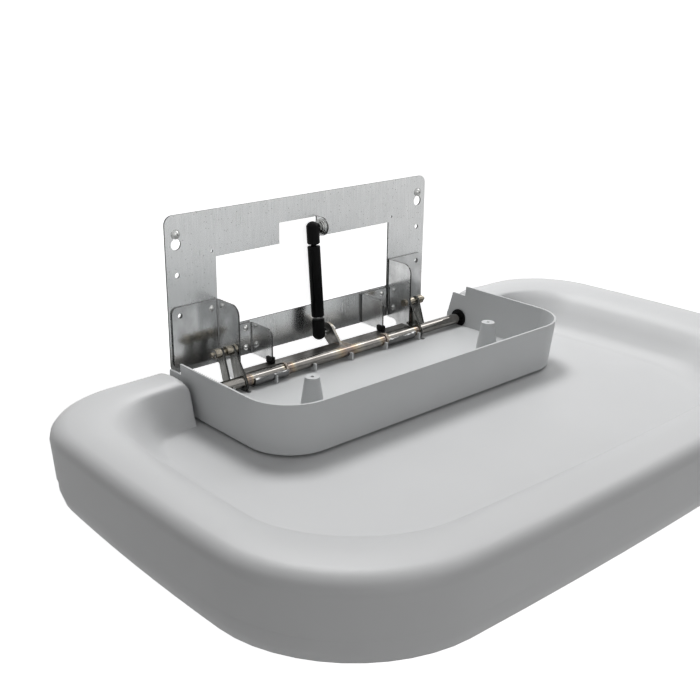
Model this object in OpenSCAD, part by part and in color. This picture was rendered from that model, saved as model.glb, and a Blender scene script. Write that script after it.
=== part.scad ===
// Wall-hung baby changing station, shown open, with its hinge mechanism in view.
// X runs along the wall, Y into the wall, Z up. The wall plate's back face is at Y = 0,
// and the origin is the middle of its four bolt holes.

/* [Wall plate] */
// Width of the wall plate
plate_w = 460; // [452:1:480]
// Height of the wall plate
plate_h = 208; // [204:1:230]
// Sheet thickness of the wall plate
plate_t = 2.5; // [2:0.1:3]
// Radius of the wall plate's corners
plate_corner_r = 12; // [4:0.5:16]
// Width of the big opening
opening_w = 310; // [290:1:312]
// Top edge of the opening above the origin
opening_top = 41.5; // [38:0.5:46]
// Bottom edge of the opening below the origin
opening_bottom = 56; // [50:0.5:57]
// How far the notch for the strut rises above the opening
notch_rise = 29; // [26:0.5:34]
// Left side of the notch from the middle
notch_left = 50.5; // [30:0.5:70]
// Distance of the bolt holes from the plate's side edges
bolt_inset = 15.5; // [12:0.5:20]
// Distance between the bolt holes in height
bolt_rise = 53; // [48:0.5:58]
// Diameter of the bolt holes
bolt_hole_d = 7; // [5:0.5:8]
// Height of the keyholes' round end above the origin
keyhole_z = 66.5; // [60:0.5:72]
// Diameter of the keyholes' round end
keyhole_d = 14.5; // [12:0.5:16]
// Length of the keyholes' slot
keyhole_slot = 13; // [11:0.5:15]

/* [Brackets] */
// Sheet thickness of the angle brackets
bracket_t = 2.5; // [2:0.1:3]
// Distance of the hinge brackets' cheeks from the middle
hinge_cheek_x = 155; // [154:0.5:160]
// Width of the hinge brackets' wall leg
hinge_leg_w = 71.5; // [66:0.5:72]
// Top edge of the hinge brackets below the origin
hinge_bracket_top = 14.7; // [12:0.1:18]
// Height of the hinge brackets' wall leg
hinge_leg_h = 82; // [78:0.5:86]
// Reach of the hinge brackets' cheeks from the plate
hinge_cheek_reach = 48.8; // [46:0.1:49]
// Distance of the stop brackets' cheeks from the middle
stop_cheek_x = 101; // [96:0.5:104]
// Width of the stop brackets' wall leg
stop_leg_w = 50; // [44:0.5:51]
// Height of the stop brackets
stop_bracket_h = 44.5; // [42:0.5:45]
// Reach of the stop brackets' cheeks from the plate
stop_cheek_reach = 47.5; // [45:0.1:48]

/* [Hinge] */
// Distance of the hinge axis from the wall
axis_out = 63.2; // [62.5:0.1:66]
// Depth of the hinge axis below the origin
axis_drop = 112.8; // [112:0.1:113.5]
// Diameter of the hinge tube
tube_d = 16; // [14:0.5:16.5]
// Wall of the hinge tube
tube_wall = 2; // [1.5:0.1:3]
// Distance of the top pins from the wall
pin_out = 41; // [39:0.1:43]
// Depth of the top pins below the origin
pin_drop = 74.5; // [72:0.1:77]
// Diameter of the top pins
pin_d = 6; // [5:0.5:7]
// Thickness of the hinge arms
arm_t = 3; // [2.5:0.1:3.5]
// Radius of the inner arms' round lower end
arm_eye_r = 13.6; // [13.4:0.1:13.9]
// Radius of the outer arms' seat behind the tube
arm_seat_r = 7.5; // [7:0.1:8.5]
// Radius of the arms' small end
arm_small_r = 6.5; // [6:0.1:8]
// Gap between the two arms of a pair
arm_gap = 15; // [12:0.5:16]
// Width of the flat stop bar
bar_w = 16; // [14:0.5:16.5]
// Thickness of the flat stop bar
bar_t = 4; // [3:0.1:4.5]
// Half the length of the stop bar
bar_half = 150; // [140:1:152]

/* [Gas strut] */
// Distance of the upper ball from the wall
upper_ball_out = 12.1; // [11.5:0.1:14]
// Height of the upper ball above the origin
upper_ball_z = 57.6; // [56:0.1:59]
// Distance of the lower ball from the wall
lower_ball_out = 25.7; // [25:0.1:28]
// Depth of the lower ball below the origin
lower_ball_drop = 91.8; // [91:0.1:93]
// Diameter of the strut's cylinder
cylinder_d = 18; // [17:0.1:18.5]
// Diameter of the strut's rod
rod_d = 8; // [7:0.1:8.5]
// Diameter of the ball studs' balls
ball_d = 10; // [9:0.1:10.5]
// Length of a ball socket from its ball to its neck
socket_l = 22; // [21:0.1:23]

/* [Hinge tray] */
// Width of the hinge tray
tray_w = 521; // [516:1:523]
// Front of the hinge tray from the wall
tray_front = 270.5; // [260:0.5:280]
// Rim of the tray below the origin
tray_rim_drop = 61.6; // [60:0.1:66]
// Underside of the tray below the origin
tray_bottom_drop = 126; // [125.8:0.1:126.4]
// Wall thickness of the tray
tray_wall = 2.8; // [2.4:0.1:3]
// Corner radius of the tray
tray_corner_r = 60; // [50:1:66]
// How much narrower the tray is at its bottom, each side
tray_draft = 5; // [3:0.5:6]
// Distance of the two conical bosses from the middle
boss_x = 159; // [140:1:170]
// Distance of the conical bosses from the wall
boss_out = 201; // [180:1:215]

/* [Bed] */
// Width of the bed
bed_w = 932; // [900:2:960]
// Front edge of the bed from the wall
bed_front = 597; // [570:1:620]
// Rear edge of the bed from the wall, in the middle
bed_rear = 38; // [37:0.5:42]
// Top of the bed's rim below the origin
rim_drop = 73.6; // [72:0.1:76]
// Depth of the lying surface below the rim
basin_depth = 56.1; // [55.6:0.1:57]
// Overall thickness of the bed
bed_thick = 99; // [90:0.5:105]
// Wall thickness of the bed's shells
shell_wall = 3; // [2.5:0.1:3.4]
// Gap between the tray and the bed's rear notch
notch_gap = 4; // [3:0.5:6]

/* [Hidden] */
bolt_span = plate_w - 2 * bolt_inset;
$fn = 64;

over = 1;
fit = 0.05;
clear = 0.3;

// Colours
zinc = [0.72, 0.73, 0.72];
dark_zinc = [0.5, 0.51, 0.5];
steel = [0.62, 0.61, 0.58];
bright = [0.86, 0.87, 0.86];
black = [0.07, 0.07, 0.075];
tray_grey = [0.74, 0.75, 0.75];
bed_grey = [0.8, 0.81, 0.81];

// Heights of the hinge tray
tray_rim_z = -tray_rim_drop;
tray_bottom_z = -tray_bottom_drop;
tray_floor_t = 2.6;
tray_floor_z = tray_bottom_z + tray_floor_t;

// Wall plate
notch_top = opening_top + notch_rise;
small_hole_x = 161;
small_hole_z = 49.5;
small_hole_d = 3.4;
keyhole_slot_w = 6.5;
tab_x = 15.3;
tab_end_r = 13;

// Screws, rivets and studs
rivet_d = 4.8;
rivet_head_d = 8.5;
rivet_head_h = 2.2;
rivet_tail_h = 1.6;
rivet_inset = 11;
rivet_far = 41.5;
hinge_rivet_drop = 11.5;
hinge_rivet_rise = 5.6;
stop_rivet_edge = 7;
wall_screw_d = 5;
wall_screw_head_d = 10;
wall_screw_head_h = 3;
wall_screw_washer_h = 1.2;
driver_d = 3.2;
driver_depth = 1.6;

// Brackets
hinge_corner_r = 14;
leg_corner_r = 8;
stop_corner_r = 10;
tongue_front_r = 10;
tongue_rear = 24;
tongue_drop = 5;
tongue_cut_r = 6;
cheek_tail = 8;
front_y = -plate_t;
hinge_cheek_front = front_y - hinge_cheek_reach;
hinge_cheek_bottom = -hinge_bracket_top - hinge_leg_h - cheek_tail;
tongue_bottom = -axis_drop - tongue_drop;
stop_top = -opening_bottom - bracket_t;
stop_bottom = stop_top - stop_bracket_h;
pad_l = 12;
pad_side = 2;
pad_under = 1.9;
pad_grip = 6;

// Hinge
axis_y = -axis_out;
axis_z = -axis_drop;
pin_y = -pin_out;
pin_z = -pin_drop;
tube_r = tube_d / 2;
pin_r = pin_d / 2;
cheek_outer_x = hinge_cheek_x + bracket_t;
washer_t = 2;
clip_t = 1;
hub_l = 9;
hub_d = 13;
inner_arm_x = cheek_outer_x + washer_t;
outer_arm_x = inner_arm_x + arm_t + arm_gap;
pin_stub = 4.5;
pin_head_h = 2.5;
pin_head_d = 11;
groove_x = outer_arm_x + arm_t + hub_l;
pin_end_x = groove_x + clip_t + pin_stub;
seat_back = 11.5;
seat_up = 5;
seat_y = axis_y + seat_back;
seat_z = axis_z + seat_up;
eye_back = 3.2;
eye_low = 2;
eye_y = axis_y + eye_back;
eye_z = axis_z - eye_low;
weld_r = washer_t / 2;
weld_l = 15;
weld_in = 1.2;
washer_d = 13;
clip_d = 11;
clip_groove = 0.5;
clip_mouth = 5;
arm_arc_steps = 24;
tube_end_gap = 1.5;
tray_inner_half = tray_w / 2 - tray_wall - tray_inset(axis_z);
tube_half = tray_inner_half + tray_wall + tube_end_gap;
bar_top = stop_bottom - pad_under - clear;
bar_front_y = axis_y + sqrt(tube_r * tube_r - pow(bar_top - bar_t / 2 - axis_z, 2));
bar_rear_y = bar_front_y + bar_w;
lever_t = 4;
lever_head_r = 12.5;
lever_foot = 13;
lever_heel = 13.5;
lever_heel_drop = 6.5;
lever_heel_r = 3;
lever_hole_d = 8;
sleeve_wall = 2.2;
sleeve_in = 92;
sleeve_l = 56;
sleeve_open = 130;
sleeve_turn = 40;
bead_r = 1.6;
bush_wall = 3;
bush_flange_d = 27;
bush_flange_t = 2.5;

// Gas strut
upper_y = -upper_ball_out;
lower_y = -lower_ball_out;
lower_z = -lower_ball_drop;
strut_dy = lower_y - upper_y;
strut_dz = lower_z - upper_ball_z;
strut_l = sqrt(strut_dy * strut_dy + strut_dz * strut_dz);
strut_lean = atan2(-strut_dy, -strut_dz);
socket_r = cylinder_d / 2;
socket_end = 9.5;
neck_gap = 2.5;
neck_d = 8;
cylinder_start = socket_l + neck_gap;
cylinder_end = strut_l - socket_l - neck_gap;
cylinder_wall = 1.4;
cylinder_edge_r = 1.6;
cylinder_bore_r = cylinder_d / 2 - cylinder_wall;
cylinder_floor = 4;
guide_l = 11;
piston_l = 7;
piston_gap = 2;
piston_top = cylinder_start + cylinder_floor + piston_gap;
socket_grip = 8;
socket_shoulder = 1.2;
stud_neck_d = 5.5;
stud_flange_d = 12;
stud_flange_t = 1.8;
stud_thread_d = 8;
stud_washer_d = 22;
stud_washer_t = 2;
stud_washers = 2;
nut_flats = 13;
nut_t = 6.5;
socket_mouth_r = 6.6;
lever_x = tab_x;

// Hinge tray
tray_rear_wall = 71.5;
tray_tab_top = 76;
tray_tab_rear = 46;
tray_rear = 38;
tray_tab_slope_z = 108;
slice_t = 0.5;
boss_top_drop = 64.4;
boss_top_d = 18;
boss_base_d = 36;
boss_hole_d = 4.5;
boss_hole_deep = 22;
saddle_first = -181.3;
saddle_pitch = 67.2;
saddle_count = 6;
saddle_t = 2.5;
saddle_front = 12.5;
saddle_rear = 10.5;
saddle_arm_gap = 1.2;
slot_side = 1.5;
slot_reach = 15;
foot_d = 16;
foot_x_shares = [0.36, 0.78];
foot_front_share = 0.87;
foot_rear_share = 0.46;
tray_screw_d = 4;
tray_screw_head_d = 8;
tray_screw_head_h = 2.4;
tray_screw_bite = 14;

// Bed
bed_half = bed_w / 2;
rim_z = -rim_drop;
basin_z = rim_z - basin_depth;
seam_z = basin_z - shell_wall - clear;
seam_depth = rim_z - seam_z;
bed_bottom_z = rim_z - bed_thick;
arc_steps = 12;
side_steps = 8;
outline_points = 4 * (arc_steps + side_steps);
side_bow = 12;
rear_bow = 10;
front_bow = 14;
rear_corner_r = 96;
front_corner_r = 150;
rim_roll_r = 17;
rim_roll_steps = 4;
rim_flat_side = 26;
rim_flat_rear = 28;
rim_flat_front = 30;
rim_lip = 9;
rim_crown = 1.2;
slope_side = 78;
slope_rear = 16;
slope_front = 60;
slope_steps = 6;
skirt_draft = 2.5;
seam_step = 1.6;
bottom_roll_r = 26;
bottom_roll_steps = 3;
post_d = 13;
post_hole_d = 4.4;
post_web = 4;
post_inset = 40;
shell_screw_d = 4;
shell_screw_head_d = 8;
shell_screw_head_h = 3;
shell_screw_bite = 12;
notch_half = tray_w / 2 + notch_gap;
notch_depth = 9;
notch_front = bed_rear + rim_roll_r + rim_flat_rear + rim_lip + slope_rear + notch_depth;

// Flat shapes in the plane of the sheet, and solids along the three axes.

module rounded_square(w, h, r) {
    square([w - 2 * r, h], center = true);
    square([w, h - 2 * r], center = true);
    for (x = [-1, 1], y = [-1, 1]) {
        translate([x * (w / 2 - r), y * (h / 2 - r)]) circle(r);
    }
}

// The waste outside a quarter circle, for rounding the corner that points along +X +Y.
module corner_waste(r) {
    difference() {
        square(r + over);
        circle(r);
    }
}

// Extrudes a flat shape of (Y, Z) along X.
module along_x(x, t) {
    translate([x, 0, 0]) rotate([90, 0, 90]) linear_extrude(t) children();
}

// Extrudes a flat shape of (X, Z) towards the front, from y.
module along_y(y, t) {
    translate([0, y, 0]) rotate([90, 0, 0]) linear_extrude(t) children();
}

// A round bar along X.
module rod_x(x0, x1, y, z, r) {
    translate([x0, y, z]) rotate([0, 90, 0]) cylinder(h = x1 - x0, r = r);
}

// A round bar from y to the front.
module rod_y(x, y, z, l, r) {
    translate([x, y, z]) rotate([90, 0, 0]) cylinder(h = l, r = r);
}

// A domed rivet or screw head on a face that looks to the front.
module domed_head(x, y, z, d, h) {
    translate([x, y, z]) rotate([90, 0, 0]) rotate_extrude() intersection() {
        square([d / 2, h]);
        translate([0, h - dome_r(d, h)]) circle(dome_r(d, h));
    }
}

function dome_r(d, h) = (d * d / 4 + h * h) / (2 * h);

// Mirrors a piece that is drawn on the right to the left.
module on_left() {
    mirror([1, 0, 0]) children();
}

// Wall plate

module keyhole() {
    translate([0, keyhole_z]) circle(d = keyhole_d);
    translate([-keyhole_slot_w / 2, keyhole_z]) square([keyhole_slot_w, keyhole_slot]);
    translate([0, keyhole_z + keyhole_slot]) circle(d = keyhole_slot_w);
}

module plate_outline() {
    difference() {
        rounded_square(plate_w, plate_h, plate_corner_r);
        translate([-opening_w / 2, -opening_bottom])
            square([opening_w, opening_bottom + opening_top]);
        translate([-notch_left, 0]) square([notch_left + tab_x, notch_top]);
        for (side = [-1, 1]) {
            translate([side * bolt_span / 2, 0]) keyhole();
            translate([side * small_hole_x, small_hole_z]) circle(d = small_hole_d);
        }
    }
}

// The tab that is bent forward at the right side of the notch and carries the strut.
module strut_tab() {
    along_x(tab_x, plate_t) difference() {
        union() {
            translate([upper_y, upper_ball_z]) circle(tab_end_r);
            translate([upper_y, upper_ball_z - tab_end_r])
                square([-upper_y - plate_t, 2 * tab_end_r]);
        }
        translate([upper_y, upper_ball_z]) circle(d = stud_thread_d + 2 * fit);
    }
}

module wall_plate() {
    color(zinc) {
        difference() {
            along_y(0, plate_t) plate_outline();
            for (side = [-1, 1], level = [-1, 1]) {
                rod_y(side * bolt_span / 2, over, level * bolt_rise / 2,
                    plate_t + 2 * over, bolt_hole_d / 2);
            }
            for (side = [-1, 1]) bracket_rivet_holes(side);
        }
        strut_tab();
    }
}

// Brackets

// The four rivets of one side: hinge bracket first, then the stop bracket.
function rivet_spots(side) = [
    [side * (hinge_cheek_x + rivet_inset), -hinge_bracket_top - hinge_rivet_drop],
    [side * (hinge_cheek_x + rivet_inset), -hinge_bracket_top - hinge_leg_h + hinge_rivet_rise],
    [side * (stop_cheek_x + rivet_inset), stop_top - stop_rivet_edge],
    [side * (stop_cheek_x + rivet_inset), stop_bottom + stop_rivet_edge + stop_rivet_edge / 2],
    [side * (stop_cheek_x + rivet_far), stop_top - stop_rivet_edge],
    [side * (stop_cheek_x + rivet_far), stop_bottom + stop_rivet_edge + stop_rivet_edge / 2]];

// The countersunk tail of a rivet, flush with the plate's back.
module rivet_tail(spot, grow) {
    translate([spot[0], 0, spot[1]]) rotate([90, 0, 0])
        cylinder(h = rivet_tail_h + grow, r1 = rivet_d / 2 + rivet_tail_h + grow, r2 = rivet_d / 2);
}

module bracket_rivet_holes(side) {
    for (spot = rivet_spots(side)) {
        rod_y(spot[0], over, spot[1], plate_t + bracket_t + 2 * over, rivet_d / 2 + fit);
        rivet_tail(spot, fit);
    }
}

// An angle of folded sheet seen from above: wall leg to the right, cheek to the front.
module angle_section(fold_x, leg, reach) {
    bend = 2 * bracket_t;
    translate([fold_x + bend, front_y - bracket_t]) square([leg - bend, bracket_t]);
    translate([fold_x, front_y - reach]) square([bracket_t, reach - bend]);
    translate([fold_x + bend, front_y - bend]) intersection() {
        difference() {
            circle(bend);
            circle(bracket_t);
        }
        translate([-bend, 0]) square(bend);
    }
}

module hinge_bracket() {
    mid = tongue_bottom + tongue_front_r;
    color(dark_zinc) difference() {
        translate([0, 0, tongue_bottom])
            linear_extrude(-hinge_bracket_top - tongue_bottom)
                angle_section(hinge_cheek_x, hinge_leg_w, hinge_cheek_reach);
        // The wall leg ends above the tongue and has two round outer corners.
        along_y(over, plate_t + bracket_t + 2 * over) {
            translate([cheek_outer_x, tongue_bottom - over])
                square([hinge_leg_w, -hinge_bracket_top - hinge_leg_h - tongue_bottom + over]);
            translate([hinge_cheek_x + hinge_leg_w - leg_corner_r, -hinge_bracket_top - leg_corner_r])
                corner_waste(leg_corner_r);
            translate([hinge_cheek_x + hinge_leg_w - leg_corner_r,
                -hinge_bracket_top - hinge_leg_h + leg_corner_r])
                mirror([0, 1]) corner_waste(leg_corner_r);
        }
        // The cheek: a round top front corner, and a tongue that runs down beside the tube.
        along_x(hinge_cheek_x - over, bracket_t + 2 * over) {
            translate([hinge_cheek_front + hinge_corner_r, -hinge_bracket_top - hinge_corner_r])
                mirror([1, 0]) corner_waste(hinge_corner_r);
            translate([hinge_cheek_front + tongue_front_r, mid])
                rotate(180) corner_waste(tongue_front_r);
            translate([-tongue_rear - tongue_front_r, mid])
                mirror([0, 1]) corner_waste(tongue_front_r);
        }
        along_x(hinge_cheek_x - over, 2 * bracket_t + 2 * over) difference() {
            translate([-tongue_rear, tongue_bottom - over])
                square([tongue_rear + over, hinge_cheek_bottom - tongue_bottom + over]);
            translate([-tongue_rear, hinge_cheek_bottom - tongue_cut_r]) difference() {
                square(tongue_cut_r);
                translate([tongue_cut_r, 0]) circle(tongue_cut_r);
            }
        }
        rod_x(hinge_cheek_x - over, cheek_outer_x + over, pin_y, pin_z, pin_r + fit);
        rod_y(bolt_span / 2, over, -bolt_rise / 2, plate_t + bracket_t + 2 * over,
            bolt_hole_d / 2);
        bracket_rivet_holes(1);
    }
}

module stop_bracket() {
    color(dark_zinc) difference() {
        translate([0, 0, stop_bottom]) linear_extrude(stop_bracket_h)
            angle_section(stop_cheek_x, stop_leg_w, stop_cheek_reach);
        along_x(stop_cheek_x - over, bracket_t + 2 * over)
            translate([front_y - stop_cheek_reach + stop_corner_r, stop_top - stop_corner_r])
                mirror([1, 0]) corner_waste(stop_corner_r);
        bracket_rivet_holes(1);
    }
}

module bracket_rivets() {
    head_y = front_y - bracket_t;
    color(bright) for (side = [-1, 1], spot = rivet_spots(side)) {
        rod_y(spot[0], 0, spot[1], plate_t + bracket_t, rivet_d / 2);
        domed_head(spot[0], head_y, spot[1], rivet_head_d, rivet_head_h);
        rivet_tail(spot, 0);
    }
}

module wall_screws() {
    head_y = front_y - wall_screw_washer_h;
    color(bright) for (side = [-1, 1]) difference() {
        union() {
            rod_y(side * bolt_span / 2, 0, keyhole_z + keyhole_slot,
                plate_t, wall_screw_d / 2);
            rod_y(side * bolt_span / 2, front_y, keyhole_z + keyhole_slot,
                wall_screw_washer_h, wall_screw_head_d / 2 + wall_screw_washer_h);
            domed_head(side * bolt_span / 2, head_y, keyhole_z + keyhole_slot,
                wall_screw_head_d, wall_screw_head_h);
        }
        rod_y(side * bolt_span / 2, head_y - wall_screw_head_h + driver_depth,
            keyhole_z + keyhole_slot, wall_screw_head_h, driver_d / 2);
    }
}

// Rubber pads on the stop brackets' lower front corners.
module stop_pads() {
    pad_w = bracket_t + 2 * pad_side;
    pad_front = front_y - stop_cheek_reach - pad_side;
    color(black) for (side = [-1, 1]) difference() {
        translate([side * (stop_cheek_x + bracket_t / 2) - pad_w / 2, pad_front,
            stop_bottom - pad_under])
            cube([pad_w, pad_l, pad_under + pad_grip]);
        translate([side * (stop_cheek_x + bracket_t / 2) - bracket_t / 2, pad_front + pad_side,
            stop_bottom])
            cube([bracket_t, pad_l, pad_grip + over]);
    }
}

// Hinge arms and pins

// The tangent points of a drop shape around two circles, on one side.
function drop_side(a, ra, b, rb, side) =
    let (d = b - a, l = norm(d), heading = atan2(d[1], d[0]),
        lean = acos((ra - rb) / l), turn = heading + side * lean)
    [a + ra * [cos(turn), sin(turn)], b + rb * [cos(turn), sin(turn)]];

function arc_points(c, r, from, to) =
    [for (i = [0 : arm_arc_steps]) let (turn = from + (to - from) * i / arm_arc_steps)
        c + r * [cos(turn), sin(turn)]];

// A drop shape around two circles as one closed line.
module drop_outline(a, ra, b, rb) {
    d = b - a;
    heading = atan2(d[1], d[0]);
    lean = acos((ra - rb) / norm(d));
    polygon(concat(arc_points(b, rb, heading - lean, heading + lean),
        arc_points(a, ra, heading + lean, heading + 360 - lean)));
}

// The tube runs through the inner arm's round end; the outer arm's end seats on the tube's back.
module arm(x, inner) {
    low = inner ? [eye_y, eye_z] : [seat_y, seat_z];
    low_r = inner ? arm_eye_r : arm_seat_r;
    color(steel) difference() {
        along_x(x, arm_t) drop_outline([pin_y, pin_z], arm_small_r, low, low_r);
        rod_x(x - over, x + arm_t + over, axis_y, axis_z, tube_r + fit);
        rod_x(x - over, x + arm_t + over, pin_y, pin_z, pin_r + fit);
    }
}

module hinge_pin() {
    color(bright) {
        rod_x(hinge_cheek_x - pin_head_h, hinge_cheek_x, pin_y, pin_z, pin_head_d / 2);
        rod_x(hinge_cheek_x, groove_x, pin_y, pin_z, pin_r);
        rod_x(groove_x, groove_x + clip_t, pin_y, pin_z, pin_r - clip_groove);
        rod_x(groove_x + clip_t, pin_end_x, pin_y, pin_z, pin_r);
    }
}

// One collar on the outer side of every arm.
module pin_collars() {
    color(bright) for (side = [0, 1], from = [inner_arm_x + arm_t, outer_arm_x + arm_t])
        mirror([side, 0, 0]) difference() {
            rod_x(from, from + hub_l, pin_y, pin_z, hub_d / 2);
            rod_x(from - over, from + hub_l + over, pin_y, pin_z, pin_r + fit);
        }
}

module pin_washers() {
    color(bright) for (side = [0, 1]) mirror([side, 0, 0]) difference() {
        rod_x(cheek_outer_x, inner_arm_x, pin_y, pin_z, washer_d / 2);
        rod_x(cheek_outer_x - over, inner_arm_x + over, pin_y, pin_z, pin_r + fit);
    }
}

module pin_clips() {
    color(dark_zinc) for (side = [0, 1]) mirror([side, 0, 0]) difference() {
        rod_x(groove_x, groove_x + clip_t, pin_y, pin_z, clip_d / 2);
        rod_x(groove_x - over, groove_x + clip_t + over, pin_y, pin_z, pin_r - clip_groove + fit);
        translate([groove_x - over, pin_y - clip_mouth / 2, pin_z - clip_d])
            cube([clip_t + 2 * over, clip_mouth, clip_d]);
    }
}

// A bead between each cheek's front edge and the inner arm.
module arm_welds() {
    color(steel) for (side = [0, 1]) mirror([side, 0, 0])
        translate([cheek_outer_x + weld_r, hinge_cheek_front + weld_in + weld_r,
            hinge_cheek_bottom + weld_in])
            cylinder(h = weld_l, r = weld_r);
}

// Tube, stop bar and crank

module hinge_tube() {
    color(steel) difference() {
        rod_x(-tube_half, tube_half, axis_y, axis_z, tube_r);
        rod_x(-tube_half - over, tube_half + over, axis_y, axis_z, tube_r - tube_wall);
    }
}

// A half sleeve that is crimped and welded on the front of the tube beside the inner arm.
module tube_sleeve() {
    sleeve_r = tube_r + sleeve_wall;
    open_far = 2 * sleeve_r;
    color(steel) difference() {
        rod_x(sleeve_in, sleeve_in + sleeve_l, axis_y, axis_z, sleeve_r);
        rod_x(sleeve_in - over, sleeve_in + sleeve_l + over, axis_y, axis_z, tube_r);
        along_x(sleeve_in - over, sleeve_l + 2 * over) translate([axis_y, axis_z])
            polygon([[0, 0],
                open_far * [cos(-sleeve_turn - sleeve_open / 2), sin(-sleeve_turn - sleeve_open / 2)],
                open_far * [cos(-sleeve_turn), sin(-sleeve_turn)],
                open_far * [cos(-sleeve_turn + sleeve_open / 2), sin(-sleeve_turn + sleeve_open / 2)]]);
    }
}

module stop_bar() {
    color(dark_zinc) difference() {
        translate([-bar_half, bar_front_y - tube_r, bar_top - bar_t])
            cube([2 * bar_half, bar_w + tube_r, bar_t]);
        rod_x(-bar_half - over, bar_half + over, axis_y, axis_z, tube_r);
        translate([-bar_half - over, axis_y - tube_d, bar_top - bar_t - over])
            cube([2 * bar_half + 2 * over, tube_d, bar_t + 2 * over]);
        for (side = [0, 1]) mirror([side, 0, 0])
            rod_x(sleeve_in - bead_r - fit, sleeve_in + sleeve_l + over, axis_y, axis_z,
                tube_r + sleeve_wall + fit);
    }
}

module crank_lever() {
    toe = [bar_rear_y - lever_foot, bar_top];
    heel = [bar_rear_y + lever_heel - lever_heel_r, bar_top - lever_heel_drop + lever_heel_r];
    front = drop_side([lower_y, lower_z], lever_head_r, toe, 0, -1);
    rear = drop_side([lower_y, lower_z], lever_head_r, heel, lever_heel_r, 1);
    color(steel) difference() {
        along_x(lever_x, lever_t) {
            translate([lower_y, lower_z]) circle(lever_head_r);
            translate(heel) circle(lever_heel_r);
            polygon([[lower_y, lower_z], front[0], toe, [bar_rear_y, bar_top],
                [bar_rear_y, bar_top - lever_heel_drop], [heel[0], bar_top - lever_heel_drop],
                heel, rear[1], rear[0]]);
        }
        rod_x(lever_x - over, lever_x + lever_t + over, lower_y, lower_z, lever_hole_d / 2 + fit);
    }
}

// The weld beads: a ring at each sleeve's inner end, and a fillet along the lever's foot.
module weld_beads() {
    color(dark_zinc) {
        for (side = [-1, 1]) translate([side * (sleeve_in - bead_r / 2), axis_y, axis_z])
            rotate([0, 90, 0]) rotate_extrude() translate([tube_r, 0]) intersection() {
                circle(bead_r);
                translate([0, -bead_r / 2]) square([bead_r, bead_r]);
            }
        for (side = [0, 1]) translate([lever_x + side * lever_t, bar_rear_y - lever_foot, bar_top])
            rotate([-90, 0, 0]) intersection() {
                cylinder(h = lever_foot, r = bead_r);
                translate([(side - 1) * bead_r, -bead_r, 0])
                    cube([bead_r, bead_r, lever_foot]);
            }
    }
}

// The bush's flange, cut flat where it stands on the tray's floor.
module bush_flange(grow) {
    difference() {
        rod_x(tray_inner_half - bush_flange_t, tray_inner_half, axis_y, axis_z,
            bush_flange_d / 2 + grow);
        translate([0, axis_y - bush_flange_d, tray_floor_z - bush_flange_d])
            cube([tray_w, 2 * bush_flange_d, bush_flange_d]);
    }
}

// A black flanged bush that seats a tube end in the tray's side wall.
module tube_bush() {
    color(black) difference() {
        union() {
            bush_flange(0);
            rod_x(tray_inner_half - bush_flange_t, tube_half + tube_end_gap, axis_y, axis_z,
                tube_r + bush_wall);
        }
        rod_x(tray_inner_half - bush_flange_t - over, tray_w, axis_y, axis_z, tube_r + fit);
    }
}

// Hinge tray

function tray_inset(z) = tray_draft * (tray_rim_z - z) / (tray_rim_z - tray_bottom_z);

// A slice of the tray's outline at a height, open to the rear.
module tray_slice(z, shrink) {
    inset = tray_inset(z) + shrink;
    half = tray_w / 2 - inset;
    front = -tray_front + inset;
    r = tray_corner_r - shrink;
    translate([0, 0, z]) linear_extrude(slice_t) {
        translate([-half, front + r]) square([2 * half, -tray_rear - front - r]);
        translate([-half + r, front]) square([2 * half - 2 * r, r]);
        for (side = [-1, 1]) translate([side * (half - r), front + r]) circle(r, $fn = 48);
    }
}

module tray_body() {
    difference() {
        hull() {
            tray_slice(tray_bottom_z, 0);
            tray_slice(tray_rim_z - slice_t, 0);
        }
        hull() {
            tray_slice(tray_floor_z, tray_wall);
            tray_slice(tray_rim_z + over, tray_wall);
        }
        // The rear end stays open above the floor.
        translate([-tray_w / 2 + tray_draft + tray_wall, -tray_rear - over, tray_floor_z])
            cube([tray_w - 2 * (tray_draft + tray_wall), 2 * over, tray_rim_drop]);
        // The side walls step down behind the tube's bush.
        along_x(-tray_w, 2 * tray_w) polygon([[-tray_rear_wall, -tray_tab_top],
            [-tray_tab_rear, -tray_tab_top], [-tray_rear - over, -tray_tab_slope_z],
            [over, -tray_tab_slope_z], [over, tray_rim_z + over],
            [-tray_rear_wall, tray_rim_z + over]]);
    }
}

function foot_spots() = [for (side = [-1, 1]) each [
    [side * boss_x, -boss_out],
    [side * foot_x_shares[0] * tray_w / 2, -tray_front * foot_front_share],
    [side * foot_x_shares[1] * tray_w / 2, -tray_front * foot_rear_share]]];

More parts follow.
